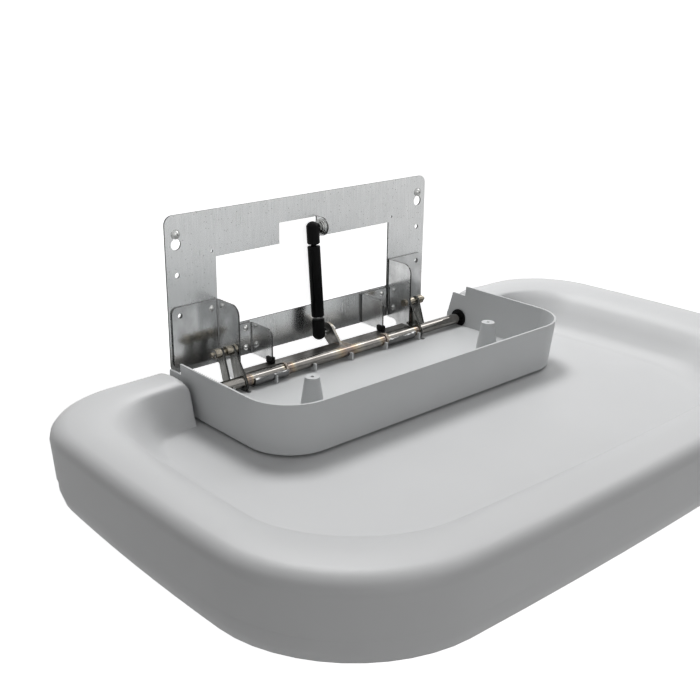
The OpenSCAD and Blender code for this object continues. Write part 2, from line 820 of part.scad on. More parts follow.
module hinge_tray() {
    color(tray_grey) difference() {
        union() {
            tray_body();
            // Two conical bosses that take the screws of the upper cover.
            for (side = [-1, 1]) translate([side * boss_x, -boss_out, tray_floor_z])
                cylinder(h = -boss_top_drop - tray_floor_z, d1 = boss_base_d, d2 = boss_top_d);
            // Saddles under the tube.
            for (i = [0 : saddle_count - 1])
                translate([saddle_first + i * saddle_pitch - saddle_t / 2, axis_y - saddle_front,
                    tray_floor_z])
                    cube([saddle_t, saddle_front + saddle_rear, axis_z - tray_floor_z]);
            // Feet that stand on the bed's lying surface.
            for (spot = foot_spots()) translate([spot[0], spot[1], basin_z])
                cylinder(h = tray_bottom_z - basin_z, d = foot_d);
        }
        for (side = [-1, 1]) {
            translate([side * boss_x, -boss_out, -boss_top_drop - boss_hole_deep])
                cylinder(h = boss_hole_deep + over, d = boss_hole_d);
            translate([side * boss_x, -boss_out, basin_z - over])
                cylinder(h = tray_bottom_z + tray_screw_bite - basin_z + over,
                    d = tray_screw_d + 2 * fit);
        }
        rod_x(-tray_w, tray_w, axis_y, axis_z, tube_r + fit);
        for (side = [0, 1]) mirror([side, 0, 0]) {
            rod_x(sleeve_in - bead_r - fit, sleeve_in + sleeve_l + fit, axis_y, axis_z,
                tube_r + sleeve_wall + fit);
            rod_x(tray_inner_half - bush_flange_t, tray_w, axis_y, axis_z,
                tube_r + bush_wall + fit);
            bush_flange(fit);
            translate([inner_arm_x - slot_side, axis_y - slot_reach, tray_bottom_z - over])
                cube([arm_t + 2 * slot_side, 2 * slot_reach, tray_floor_t + 2 * over]);
            translate([inner_arm_x - slot_side, axis_y - saddle_front - over, tray_floor_z])
                cube([outer_arm_x - inner_arm_x + arm_t + 2 * slot_side,
                    saddle_front + saddle_rear + 2 * over, axis_z - tray_floor_z + over]);
        }
    }
}

module tray_screws() {
    color(bright) for (side = [-1, 1]) translate([side * boss_x, -boss_out, 0]) {
        translate([0, 0, basin_z - shell_wall])
            cylinder(h = shell_wall + tray_bottom_z - basin_z + tray_screw_bite - fit,
                d = tray_screw_d);
        translate([0, 0, basin_z - shell_wall - tray_screw_head_h])
            cylinder(h = tray_screw_head_h, d = tray_screw_head_d);
    }
}

// Bed

// A point on one of the outline's corner arcs; corner 0 is at the rear right.
function arc_point(corner, turn, ring) =
    let (rear = corner < 2,
        pull = max(ring[0], rear ? ring[1] : ring[2]),
        r = max((rear ? rear_corner_r : front_corner_r) - pull / 3, 2 * rim_roll_r),
        half = bed_half - ring[0] - side_bow,
        cx = (corner == 0 || corner == 3 ? 1 : -1) * (half - r),
        cy = rear ? -bed_rear - rear_bow - ring[1] - r : -bed_front + front_bow + ring[2] + r)
    [cx + r * cos(turn), cy + r * sin(turn)];

// A point of the outline: each corner's arc is followed by a straight side.
function outline_point(i, ring) =
    let (per = arc_steps + side_steps, corner = floor(i / per), k = i % per,
        next = (corner + 1) % 4, s = (k - arc_steps) / side_steps)
    k <= arc_steps ? arc_point(corner, 90 * (corner + k / arc_steps), ring)
        : (1 - s) * arc_point(corner, 90 * (corner + 1), ring)
            + s * arc_point(next, 90 * (corner + 1), ring);

// The bow pushes the middle of each side outwards.
function bowed(p, half, back, front) =
    let (mid = (back + front) / 2, deep = (back - front) / 2,
        u = p[0] / half, v = (p[1] - mid) / deep)
    [p[0] + side_bow * max(0, 1 - v * v) * u,
        p[1] + (v > 0 ? rear_bow : front_bow) * max(0, 1 - u * u) * v];

// One ring: side inset, rear inset, front inset and height.
function bed_ring(ring) =
    let (half = bed_half - ring[0] - side_bow, back = -bed_rear - rear_bow - ring[1],
        front = -bed_front + front_bow + ring[2])
    [for (i = [0 : outline_points - 1])
        let (p = bowed(outline_point(i, ring), half, back, front)) [p[0], p[1], ring[3]]];

// The section of the bed's top: side inset, rear inset, front inset and height of each ring.
function rim_rings(off) = concat(
    [[off + skirt_draft, off + skirt_draft, off + skirt_draft, seam_z - off]],
    [for (i = [0 : rim_roll_steps])
        let (turn = 90 * i / rim_roll_steps, in = rim_roll_r - (rim_roll_r - off) * cos(turn))
        [in, in, in, rim_z - rim_roll_r + (rim_roll_r - off) * sin(turn)]],
    [[rim_roll_r + rim_flat_side / 2, rim_roll_r + rim_flat_rear / 2,
        rim_roll_r + rim_flat_front / 2, rim_z + rim_crown - off]],
    [[rim_roll_r + rim_flat_side, rim_roll_r + rim_flat_rear, rim_roll_r + rim_flat_front,
        rim_z - off]],
    [for (i = [0 : slope_steps])
        let (s = i / slope_steps, fall = (1 - cos(180 * s)) / 2,
            lip = rim_roll_r + rim_lip - off)
        [lip + rim_flat_side + (slope_side - rim_lip) * s,
            lip + rim_flat_rear + (slope_rear - rim_lip / 2) * s,
            lip + rim_flat_front + (slope_front - rim_lip) * s,
            rim_z - off - rim_lip / 3 - (basin_depth - rim_lip / 3) * fall]]);

function bottom_rings(off) = concat(
    [[off + skirt_draft, off + skirt_draft, off + skirt_draft, seam_z + (off > 0 ? over : 0)],
        [off + skirt_draft + seam_step, off + skirt_draft + seam_step,
            off + skirt_draft + seam_step, seam_z - seam_step]],
    [for (i = [0 : bottom_roll_steps])
        let (turn = 90 * i / bottom_roll_steps,
            in = skirt_draft + seam_step + bottom_roll_r - (bottom_roll_r - off) * cos(turn))
        [in, in, in, bed_bottom_z + bottom_roll_r - (bottom_roll_r - off) * sin(turn)]]);

// Joins rings of equal length into one closed solid; up is true when the rings start low.
module ring_solid(rings, up) {
    n = outline_points;
    count = len(rings);
    points = [for (ring = rings) each bed_ring(ring)];
    sides = [for (k = [0 : count - 2], i = [0 : n - 1])
        let (j = (i + 1) % n)
        up ? [k * n + i, (k + 1) * n + i, (k + 1) * n + j, k * n + j]
            : [k * n + i, k * n + j, (k + 1) * n + j, (k + 1) * n + i]];
    first = [for (i = [0 : n - 1]) up ? i : n - 1 - i];
    last = [for (i = [0 : n - 1]) (count - 1) * n + (up ? n - 1 - i : i)];
    polyhedron(points, concat([first], sides, [last]), convexity = 6);
}

// The notch in the rear of the top shell, where the hinge tray stands.
module rear_notch(grow) {
    translate([-notch_half - grow, -notch_front - grow, basin_z - (grow > 0 ? grow : 0)])
        cube([2 * (notch_half + grow), notch_front + grow, rim_drop + basin_depth]);
}

function post_spots() = [for (side = [-1, 1], spot = [
    [bed_half - post_inset, (bed_rear + bed_front) / 2],
    [bed_half - 2 * post_inset, bed_rear + post_inset + rim_roll_r],
    [bed_half - 2 * post_inset, bed_front - 2 * post_inset],
    [bed_half / 3, bed_front - post_inset]]) [side * spot[0], -spot[1]]];

module bed_top_shell() {
    color(bed_grey) difference() {
        union() {
            difference() {
                ring_solid(rim_rings(0), true);
                ring_solid(rim_rings(shell_wall), true);
                rear_notch(0);
            }
            // Inside the rim: the notch's walls, and the posts that take the shell screws.
            intersection() {
                ring_solid(rim_rings(shell_wall / 2), true);
                translate([-bed_w, -bed_front, seam_z]) cube([2 * bed_w, bed_front, bed_thick]);
                union() {
                    difference() {
                        rear_notch(shell_wall);
                        rear_notch(0);
                    }
                    for (spot = post_spots()) translate([spot[0], spot[1], seam_z])
                        cylinder(h = seam_depth + rim_crown, d = post_d);
                }
            }
        }
        for (spot = post_spots()) translate([spot[0], spot[1], seam_z - over])
            cylinder(h = shell_screw_bite + over, d = shell_screw_d + 2 * fit);
        for (side = [-1, 1]) translate([side * boss_x, -boss_out, basin_z - shell_wall - over])
            cylinder(h = shell_wall + 2 * over, d = tray_screw_d + 2 * fit);
    }
}

module bed_bottom_shell() {
    color(bed_grey) difference() {
        union() {
            difference() {
                ring_solid(bottom_rings(0), false);
                ring_solid(bottom_rings(shell_wall), false);
            }
            for (spot = post_spots()) translate([spot[0], spot[1], bed_bottom_z + shell_wall / 2])
                cylinder(h = seam_z - bed_bottom_z - shell_wall / 2, d = post_d);
        }
        for (spot = post_spots()) translate([spot[0], spot[1], bed_bottom_z - over]) {
            cylinder(h = seam_z - bed_bottom_z + 2 * over, d = post_hole_d);
            cylinder(h = seam_z - bed_bottom_z - post_web + over, d = shell_screw_head_d + 2 * fit);
        }
    }
}

module shell_screws() {
    head_z = seam_z - post_web - shell_screw_head_h;
    color(bright) for (spot = post_spots()) translate([spot[0], spot[1], head_z]) difference() {
        union() {
            cylinder(h = shell_screw_head_h, d = shell_screw_head_d);
            cylinder(h = shell_screw_head_h + post_web + shell_screw_bite - over, d = shell_screw_d);
        }
        translate([0, 0, -over]) cylinder(h = driver_depth + over, d = driver_d, $fn = 6);
    }
}

// Gas strut, drawn from its upper ball at the origin, down along -Z

module strut_frame() {
    translate([0, upper_y, upper_ball_z]) rotate([-strut_lean, 0, 0]) children();
}

module strut_cylinder() {
    color(black) strut_frame() {
        translate([0, 0, -cylinder_end]) difference() {
            rotate_extrude() difference() {
                square([cylinder_d / 2, cylinder_end - cylinder_start]);
                translate([cylinder_d / 2 - cylinder_edge_r, cylinder_end - cylinder_start - cylinder_edge_r])
                    corner_waste(cylinder_edge_r);
                translate([cylinder_d / 2 - cylinder_edge_r, cylinder_edge_r])
                    mirror([0, 1]) corner_waste(cylinder_edge_r);
            }
            translate([0, 0, -over])
                cylinder(h = cylinder_end - cylinder_start - cylinder_floor + over,
                    r = cylinder_bore_r);
        }
        translate([0, 0, -cylinder_start]) cylinder(h = neck_gap + socket_grip, d = neck_d);
    }
}

module strut_guide() {
    color(black) strut_frame() translate([0, 0, -cylinder_end]) difference() {
        cylinder(h = guide_l, r = cylinder_bore_r - fit / 2);
        translate([0, 0, -over]) cylinder(h = guide_l + 2 * over, d = rod_d + 2 * fit);
    }
}

// A plastic ball socket: a round head with the ball's seat, and a sleeve on the strut's end.
module ball_socket(grip_d) {
    color(black) difference() {
        union() {
            intersection() {
                sphere(socket_end);
                cylinder(h = 2 * socket_end, r = socket_r, center = true);
            }
            translate([0, 0, -socket_l]) rotate_extrude() {
                translate([0, socket_shoulder]) square([socket_r, socket_l - socket_shoulder]);
                square([socket_r - socket_shoulder, socket_shoulder]);
            }
        }
        rotate([0, 90, 0]) sphere(d = ball_d + 2 * clear);
        rotate([0, 90, 0]) cylinder(h = socket_r + over, r = socket_mouth_r / 2 + fit);
        rotate([0, 90, 0]) translate([0, 0, socket_r / 2 + ball_d / 4])
            cylinder(h = socket_r, r1 = socket_mouth_r / 2, r2 = socket_mouth_r);
        translate([0, 0, -socket_l - over]) cylinder(h = socket_grip + over, d = grip_d + 2 * fit);
    }
}

// A ball stud along X from its ball at the origin, with a flange; thread ends at reach.
module ball_stud(flange_x, reach) {
    color(bright) {
        difference() {
            rotate([0, 90, 0]) sphere(d = ball_d);
            translate([ball_d / 2 - clear, -ball_d, -ball_d]) cube(2 * ball_d);
        }
        rotate([0, 90, 0]) {
            cylinder(h = flange_x, d = stud_neck_d);
            translate([0, 0, flange_x - stud_flange_t])
                cylinder(h = stud_flange_t, d = stud_flange_d, $fn = 6);
            cylinder(h = reach, d = stud_neck_d);
            translate([0, 0, flange_x]) cylinder(h = reach - flange_x, d = stud_thread_d);
        }
    }
}

module upper_socket() {
    strut_frame() ball_socket(neck_d);
}

module upper_ball_stud() {
    flange_x = tab_x - stud_washers * stud_washer_t;
    translate([0, upper_y, upper_ball_z])
        ball_stud(flange_x, tab_x + plate_t + nut_t + stud_washer_t);
}

module upper_stud_washers() {
    color(zinc) for (i = [0 : stud_washers - 1]) difference() {
        rod_x(tab_x - (i + 1) * stud_washer_t, tab_x - i * stud_washer_t, upper_y, upper_ball_z,
            stud_washer_d / 2 - i * stud_washer_t);
        rod_x(0, tab_x + over, upper_y, upper_ball_z, stud_thread_d / 2 + fit);
    }
}

module hex_nut(x, y, z) {
    translate([x, y, z]) rotate([0, 90, 0]) difference() {
        cylinder(h = nut_t, r = nut_flats / sqrt(3), $fn = 6);
        translate([0, 0, -over]) cylinder(h = nut_t + 2 * over, d = stud_thread_d + 2 * fit);
    }
}

module upper_stud_nut() {
    color(bright) hex_nut(tab_x + plate_t, upper_y, upper_ball_z);
}

module strut_rod() {
    rod_from = strut_l - socket_l + socket_grip;
    color(bright) strut_frame() translate([0, 0, -rod_from])
        cylinder(h = rod_from - piston_top, d = rod_d);
}

module strut_piston() {
    color(steel) strut_frame() translate([0, 0, -piston_top - piston_l]) difference() {
        cylinder(h = piston_l, r = cylinder_bore_r - fit);
        translate([0, 0, -over]) cylinder(h = piston_l + 2 * over, d = rod_d + 2 * fit);
    }
}

module lower_frame() {
    strut_frame() translate([0, 0, -strut_l]) rotate([0, 180, 0]) children();
}

module lower_socket() {
    lower_frame() mirror([1, 0, 0]) ball_socket(rod_d);
}

module lower_ball_stud() {
    translate([0, lower_y, lower_z]) ball_stud(tab_x - clear - stud_washer_t, tab_x - clear);
}

module lower_stud_nut() {
    color(bright) {
        hex_nut(lever_x + lever_t, lower_y, lower_z);
        rod_x(lever_x, lever_x + lever_t + nut_t + stud_washer_t, lower_y, lower_z,
            stud_thread_d / 2);
    }
}

wall_plate();
on_left() hinge_bracket();  // hinge_bracket_left
hinge_bracket();  // hinge_bracket_right
on_left() stop_bracket();  // stop_bracket_left
stop_bracket();  // stop_bracket_right
bracket_rivets();
wall_screws();
on_left() arm(outer_arm_x, false);  // arm_left_outer
on_left() arm(inner_arm_x, true);  // arm_left_inner
arm(inner_arm_x, true);  // arm_right_inner
arm(outer_arm_x, false);  // arm_right_outer
on_left() hinge_pin();  // pin_left
hinge_pin();  // pin_right
pin_collars();
pin_washers();
pin_clips();
arm_welds();
stop_pads();
upper_ball_stud();
upper_stud_washers();
upper_stud_nut();
hinge_tube();
on_left() tube_sleeve();  // tube_sleeve_left
tube_sleeve();  // tube_sleeve_right
stop_bar();
crank_lever();
lower_stud_nut();
weld_beads();
on_left() tube_bush();  // tube_bush_left
tube_bush();  // tube_bush_right
hinge_tray();
tray_screws();
bed_top_shell();
bed_bottom_shell();
shell_screws();
strut_cylinder();
strut_guide();
upper_socket();
strut_rod();
strut_piston();
lower_socket();
lower_ball_stud();
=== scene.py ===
import math

import bpy
from mathutils import Matrix, Vector


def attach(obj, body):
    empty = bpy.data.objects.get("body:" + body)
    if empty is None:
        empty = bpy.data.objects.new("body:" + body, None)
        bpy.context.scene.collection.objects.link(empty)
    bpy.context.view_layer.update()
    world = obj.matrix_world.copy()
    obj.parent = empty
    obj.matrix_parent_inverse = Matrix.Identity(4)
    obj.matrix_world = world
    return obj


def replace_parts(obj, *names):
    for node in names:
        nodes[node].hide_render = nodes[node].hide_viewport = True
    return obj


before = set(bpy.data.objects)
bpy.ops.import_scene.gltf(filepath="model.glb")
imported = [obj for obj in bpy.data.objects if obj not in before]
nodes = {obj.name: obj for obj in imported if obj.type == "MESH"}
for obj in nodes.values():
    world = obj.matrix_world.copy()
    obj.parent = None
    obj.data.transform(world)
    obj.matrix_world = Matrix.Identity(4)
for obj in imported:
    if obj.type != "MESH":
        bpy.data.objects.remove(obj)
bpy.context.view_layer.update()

# The camera stands at the left front and looks down on the open bed, as the
# photograph does. Its place and lens come from the plate's straight edges.
camera_place = Vector((-0.8824, -1.0647, 0.3812))
camera_forward = Vector((0.6310, 0.6957, -0.3433)).normalized()
camera_right = Vector((0.7407, -0.6718, 0.0)).normalized()
camera_roll = math.radians(0.72)
lens_mm, sensor_mm = 52.29, 36.0
nearest_seen = 0.01

camera_up = camera_right.cross(camera_forward)
roll_right = camera_right * math.cos(camera_roll) + camera_up * math.sin(camera_roll)
roll_up = camera_up * math.cos(camera_roll) - camera_right * math.sin(camera_roll)
bpy.ops.object.select_all(action="DESELECT")
bpy.ops.object.camera_add()
camera = bpy.context.object
camera.name = "camera"
turn = Matrix((roll_right, roll_up, -camera_forward)).transposed().to_4x4()
camera.matrix_world = Matrix.Translation(camera_place) @ turn
camera.data.lens = lens_mm
camera.data.sensor_width = sensor_mm
camera.data.clip_start = nearest_seen
bpy.context.scene.camera = camera
bpy.context.scene.view_settings.view_transform = "Standard"

# The studio: a pale floor, a white wall behind the plate and three soft lamps. The wall
# casts no shadow, so that the strongest lamp can stand behind it, and it is clear from
# its back, so that the plate's back can be looked at.
white = (1.0, 1.0, 1.0, 1.0)
pale_grey = (0.86, 0.86, 0.86, 1.0)
sky_light, sky_seen = 0.22, 1.0
stage_seen, stage_mirrored = 0.8, 0.45
stage_size = 12.0
lamp_aim, low_aim = (0.0, -0.25, -0.05), (0.0, -0.3, -0.1)


def feed(tree, socket, value):
    # A number or tuple is set on the socket, and anything else is a node's output.
    if isinstance(value, (float, tuple)):
        socket.default_value = value
    else:
        tree.links.new(value, socket)


def reckon(tree, kind, *values, clamp=False):
    node = tree.nodes.new("ShaderNodeMath")
    node.operation = kind
    node.use_clamp = clamp
    for socket, value in zip(node.inputs, values):
        feed(tree, socket, value)
    return node.outputs[0]


def mix_shaders(tree, share, first, second):
    node = tree.nodes.new("ShaderNodeMixShader")
    for socket, value in zip(node.inputs, (share, first, second)):
        tree.links.new(value, socket)
    return node.outputs[0]


def white_sky(tree, strength):
    glow = tree.nodes.new("ShaderNodeBackground")
    glow.inputs["Color"].default_value = white
    glow.inputs["Strength"].default_value = strength
    return glow.outputs[0]


world = bpy.data.worlds.new("studio")
bpy.context.scene.world = world
world.use_nodes = True
sky = world.node_tree
sky.nodes.clear()
rays = sky.nodes.new("ShaderNodeLightPath")
straight = reckon(sky, "MAXIMUM", rays.outputs["Is Camera Ray"],
                  rays.outputs["Is Transmission Ray"])
seen = reckon(sky, "MAXIMUM", straight, rays.outputs["Is Glossy Ray"])
sky_mix = mix_shaders(sky, seen, white_sky(sky, sky_light), white_sky(sky, sky_seen))
sky_out = sky.nodes.new("ShaderNodeOutputWorld")
sky.links.new(sky_mix, sky_out.inputs["Surface"])


def add_lamp(name, place, target, size, power):
    bpy.ops.object.light_add(type="AREA", location=place)
    lamp = bpy.context.object
    lamp.name = name
    lamp.data.shape = "SQUARE"
    lamp.data.size = size
    lamp.data.energy = power
    lamp.rotation_euler = (Vector(target) - Vector(place)).to_track_quat("-Z", "Y").to_euler()


add_lamp("lamp_right", place=(1.25, -0.15, 1.3), target=lamp_aim, size=0.8, power=8.0)
add_lamp("lamp_front", place=(-0.6, -2.1, 0.9), target=lamp_aim, size=1.0, power=5.0)
add_lamp("lamp_over", place=(0.35, 0.45, 1.5), target=low_aim, size=0.6, power=21.0)


def stage_plane(name, place, turned):
    bpy.ops.object.select_all(action="DESELECT")
    bpy.ops.mesh.primitive_plane_add(size=stage_size, location=place, rotation=turned)
    plane = bpy.context.object
    plane.name = name
    material = bpy.data.materials.new(name)
    material.use_nodes = True
    tree = material.node_tree
    tree.nodes.clear()

    # Seen straight or in metal, the plane glows white. For other light it is plain paint.
    rays = tree.nodes.new("ShaderNodeLightPath")
    either = reckon(tree, "MAXIMUM", rays.outputs["Is Glossy Ray"],
                    rays.outputs["Is Transmission Ray"])
    mirrored = reckon(tree, "MULTIPLY", either, stage_mirrored)
    straight = reckon(tree, "MULTIPLY", rays.outputs["Is Camera Ray"], stage_seen)
    glow = tree.nodes.new("ShaderNodeEmission")
    feed(tree, glow.inputs["Strength"], reckon(tree, "MAXIMUM", mirrored, straight))
    paint = tree.nodes.new("ShaderNodeBsdfDiffuse")
    paint.inputs["Color"].default_value = pale_grey
    both = tree.nodes.new("ShaderNodeAddShader")
    tree.links.new(paint.outputs[0], both.inputs[0])
    tree.links.new(glow.outputs[0], both.inputs[1])

    clear = tree.nodes.new("ShaderNodeBsdfTransparent")
    side = tree.nodes.new("ShaderNodeNewGeometry")
    surface = mix_shaders(tree, side.outputs["Backfacing"], both.outputs[0], clear.outputs[0])
    out = tree.nodes.new("ShaderNodeOutputMaterial")
    tree.links.new(surface, out.inputs["Surface"])
    plane.data.materials.append(material)
    return plane


stage_plane("floor", place=(0.0, -0.5, -0.85), turned=(0.0, 0.0, 0.0))
wall = stage_plane("wall", place=(0.0, 0.004, 0.4), turned=(math.radians(90.0), 0.0, 0.0))
wall.visible_shadow = False

# The wall plate: 2.5 mm galvanised sheet, laser cut, with its strut tab bent
# forward. Rolling leaves upright streaks, and handling leaves specks and rubs.
speck_scale, speck_colour = 190.0, (0.05, 0.045, 0.04, 1.0)
speck_middle, speck_rim = 0.06, 0.16
metal_relief = 0.001
cut_and_fold_shade_colour, cut_and_fold_shade_weight = (0.03, 0.03, 0.029, 1.0), 0.93
looks_forward, mostly, partly = -0.6, 0.5, 0.25
merge_distance = 0.00001
flat_angle, edge_angle = math.radians(0.5), math.radians(30.0)

colour_socket, value_socket = "NodeSocketColor", "NodeSocketFloat"
vector_socket, shape_socket = "NodeSocketVector", "NodeSocketGeometry"


def start_group(name, tree_kind, inputs, outputs):
    group = bpy.data.node_groups.new(name, tree_kind)
    for in_out, sockets in (("INPUT", inputs), ("OUTPUT", outputs)):
        for socket_name, socket_type in sockets:
            group.interface.new_socket(socket_name, in_out=in_out, socket_type=socket_type)
    given = group.nodes.new("NodeGroupInput")
    result = group.nodes.new("NodeGroupOutput")
    return group, given, result


def mix(tree, kind, share, first, second):
    # A Mix node keeps its sockets for values and those for colours side by side.
    first_in, second_in, mixed_out = {"FLOAT": (2, 3, 0), "RGBA": (6, 7, 2)}[kind]
    node = tree.nodes.new("ShaderNodeMix")
    node.data_type = kind
    feed(tree, node.inputs[0], share)
    feed(tree, node.inputs[first_in], first)
    feed(tree, node.inputs[second_in], second)
    return node.outputs[mixed_out]


def noise(tree, place, scale, detail=2.0, roughness=0.5):
    node = tree.nodes.new("ShaderNodeTexNoise")
    node.inputs["Detail"].default_value = detail
    node.inputs["Roughness"].default_value = roughness
    feed(tree, node.inputs["Vector"], place)
    feed(tree, node.inputs["Scale"], scale)
    return node.outputs["Fac"]


def map_range(tree, value, from_min, from_max, to_min, to_max):
    node = tree.nodes.new("ShaderNodeMapRange")
    names = ("Value", "From Min", "From Max", "To Min", "To Max")
    for name, number in zip(names, (value, from_min, from_max, to_min, to_max)):
        feed(tree, node.inputs[name], number)
    return node.outputs[0]


def metal_skin_group():
    group, given, result = start_group(
        "metal skin", "ShaderNodeTree",
        (("Light", colour_socket), ("Dark", colour_socket), ("Stretch", vector_socket),
         ("Streaks", value_socket), ("Blotches", value_socket), ("Contrast", value_socket),
         ("Specks", value_socket), ("Smooth", value_socket), ("Rough", value_socket)),
        (("Color", colour_socket), ("Roughness", value_socket), ("Height", value_socket)))
    place = group.nodes.new("ShaderNodeTexCoord").outputs["Object"]
    stretched = group.nodes.new("ShaderNodeVectorMath")
    stretched.operation = "MULTIPLY"
    feed(group, stretched.inputs[0], place)
    feed(group, stretched.inputs[1], given.outputs["Stretch"])
    streaks = noise(group, stretched.outputs[0], given.outputs["Streaks"], detail=5.0)
    blotches = noise(group, place, given.outputs["Blotches"], detail=6.0, roughness=0.65)
    blend = mix(group, "FLOAT", 0.5, streaks, blotches)
    centred = reckon(group, "SUBTRACT", blend, 0.5)
    strong = reckon(group, "MULTIPLY_ADD", centred, given.outputs["Contrast"], 0.5, clamp=True)
    tone = mix(group, "RGBA", strong, given.outputs["Dark"], given.outputs["Light"])

    cells = group.nodes.new("ShaderNodeTexVoronoi")
    cells.inputs["Scale"].default_value = speck_scale
    feed(group, cells.inputs["Vector"], place)
    near = map_range(group, cells.outputs["Distance"], speck_middle, speck_rim, 1.0, 0.0)
    specks = reckon(group, "MULTIPLY", near, given.outputs["Specks"])
    dotted = mix(group, "RGBA", specks, tone, speck_colour)
    roughness = map_range(group, strong, 0.0, 1.0, given.outputs["Rough"],
                          given.outputs["Smooth"])
    feed(group, result.inputs["Color"], dotted)
    feed(group, result.inputs["Roughness"], roughness)
    feed(group, result.inputs["Height"], blend)
    return group


metal_skin = metal_skin_group()


def add_relief(tree, height, strength, distance):
    relief = tree.nodes.new("ShaderNodeBump")
    relief.inputs["Strength"].default_value = strength
    relief.inputs["Distance"].default_value = distance
    feed(tree, relief.inputs["Height"], height)
    feed(tree, tree.nodes["Principled BSDF"].inputs["Normal"], relief.outputs["Normal"])


def metal(name, light, dark, stretch, streaks, blotches, contrast, specks, smooth, rough,
          bump=0.04):
    material = bpy.data.materials.new(name)
    material.use_nodes = True
    tree = material.node_tree
    shader = tree.nodes["Principled BSDF"]
    skin = tree.nodes.new("ShaderNodeGroup")
    skin.node_tree = metal_skin
    values = {"Light": (*light, 1.0), "Dark": (*dark, 1.0), "Stretch": stretch,
              "Streaks": streaks, "Blotches": blotches, "Contrast": contrast,
              "Specks": specks, "Smooth": smooth, "Rough": rough}
    for socket_name, value in values.items():
        skin.inputs[socket_name].default_value = value
    feed(tree, shader.inputs["Base Color"], skin.outputs["Color"])
    feed(tree, shader.inputs["Roughness"], skin.outputs["Roughness"])
    shader.inputs["Metallic"].default_value = 1.0
    add_relief(tree, skin.outputs["Height"], bump, metal_relief)
    return material


# Cut edges of sheet are darkened to dark steel, and folds are given painted shade in the same
# colour.
def cut_edge_and_fold_shade_group():
    group, given, result = start_group(
        "cut edges and fold shade", "ShaderNodeTree",
        (("Color", colour_socket), ("Front From Y", value_socket),
         ("Sides From Y", value_socket), ("Sides", value_socket),
         ("Upright Sheet", value_socket), ("Fold Shade", value_socket)),
        (("Color", colour_socket),))
    place = group.nodes.new("ShaderNodeTexCoord")
    facing = group.nodes.new("ShaderNodeSeparateXYZ")
    spot = group.nodes.new("ShaderNodeSeparateXYZ")
    feed(group, facing.inputs[0], place.outputs["Normal"])
    feed(group, spot.inputs[0], place.outputs["Object"])
    face_x, face_y, face_z = [reckon(group, "ABSOLUTE", facing.outputs[axis])
                              for axis in ("X", "Y", "Z")]

    # The front edge of a flange looks forward and lies further forward than a given Y.
    forward = reckon(group, "LESS_THAN", facing.outputs["Y"], looks_forward)
    in_front = reckon(group, "LESS_THAN", spot.outputs["Y"], given.outputs["Front From Y"])
    front = reckon(group, "MULTIPLY", forward, in_front)

    # The edges round a sheet on the wall look sideways, up or down.
    sideways = reckon(group, "LESS_THAN", face_y, mostly)
    at_wall = reckon(group, "GREATER_THAN", spot.outputs["Y"], given.outputs["Sides From Y"])
    round_sheet = reckon(group, "MULTIPLY", sideways, at_wall)
    sides = reckon(group, "MULTIPLY", round_sheet, given.outputs["Sides"])
    level = reckon(group, "GREATER_THAN", face_z, mostly)
    edge = reckon(group, "MAXIMUM", front, reckon(group, "MAXIMUM", level, sides))

    # A sheet that stands out from the wall is bright on the two faces that look along X.
    narrow = reckon(group, "LESS_THAN", face_x, mostly)
    upright = reckon(group, "MULTIPLY", narrow, given.outputs["Upright Sheet"])
    edge = reckon(group, "MAXIMUM", edge, upright)

    # A fold looks between X and Y, and the folds get painted shade in the same dark colour.
    part_x = reckon(group, "GREATER_THAN", face_x, partly)
    part_y = reckon(group, "GREATER_THAN", face_y, partly)
    folded = reckon(group, "MULTIPLY", part_x, part_y)
    fold_shade = reckon(group, "MULTIPLY", folded, given.outputs["Fold Shade"])
    edge = reckon(group, "MAXIMUM", edge, fold_shade)

    weight = reckon(group, "MULTIPLY", edge, cut_and_fold_shade_weight)
    darker = mix(group, "RGBA", weight, given.outputs["Color"], cut_and_fold_shade_colour)
    feed(group, result.inputs["Color"], darker)
    return group


cut_edges_and_fold_shade = cut_edge_and_fold_shade_group()


def add_over_colour(material, group, values):
    tree = material.node_tree
    base = tree.nodes["Principled BSDF"].inputs["Base Color"]
    colour = base.links[0].from_socket
    layer = tree.nodes.new("ShaderNodeGroup")
    layer.node_tree = group
    for socket_name, value in values.items():
        layer.inputs[socket_name].default_value = value
    feed(tree, layer.inputs["Color"], colour)
    feed(tree, base, layer.outputs["Color"])


# Darkens the cut edges, and paints shade on the folds where a fold weight is given.
def darken_cut_edges_and_shade_folds(material, front_from, sides, sides_from=-0.0028, upright_sheet=0.0,
                     fold_shade=0.0):
    add_over_colour(material, cut_edges_and_fold_shade, {
        "Front From Y": front_from, "Sides": sides, "Sides From Y": sides_from,
        "Upright Sheet": upright_sheet, "Fold Shade": fold_shade})


def merged_and_smooth(group, given):
    merge = group.nodes.new("GeometryNodeMergeByDistance")
    merge.inputs["Distance"].default_value = merge_distance
    smooth = group.nodes.new("GeometryNodeSetShadeSmooth")
    feed(group, merge.inputs["Geometry"], given.outputs[0])
    feed(group, smooth.inputs["Geometry"], merge.outputs[0])
    return smooth.outputs[0]


def joined_faces_group():
    group, given, result = start_group(
        "joined faces", "GeometryNodeTree",
        (("Geometry", shape_socket),), (("Geometry", shape_socket),))
    feed(group, result.inputs[0], merged_and_smooth(group, given))
    return group


joined_faces = joined_faces_group()


def dress(names, material, edge_width, whole_faces=False):
    for name in names:
        piece = nodes[name]
        piece.data.materials.clear()
        piece.data.materials.append(material)
        joined = piece.modifiers.new("joined", "NODES")
        joined.node_group = joined_faces
        if whole_faces:
            flat = piece.modifiers.new("whole faces", "DECIMATE")
            flat.decimate_type = "DISSOLVE"
            flat.angle_limit = flat_angle
        if edge_width > 0.0:
            bevel = piece.modifiers.new("broken edge", "BEVEL")
            bevel.width = edge_width
            bevel.segments = 2
            bevel.limit_method = "ANGLE"
            bevel.angle_limit = edge_angle
            bevel.use_clamp_overlap = True
        weighted = piece.modifiers.new("even shading", "WEIGHTED_NORMAL")
        weighted.keep_sharp = False


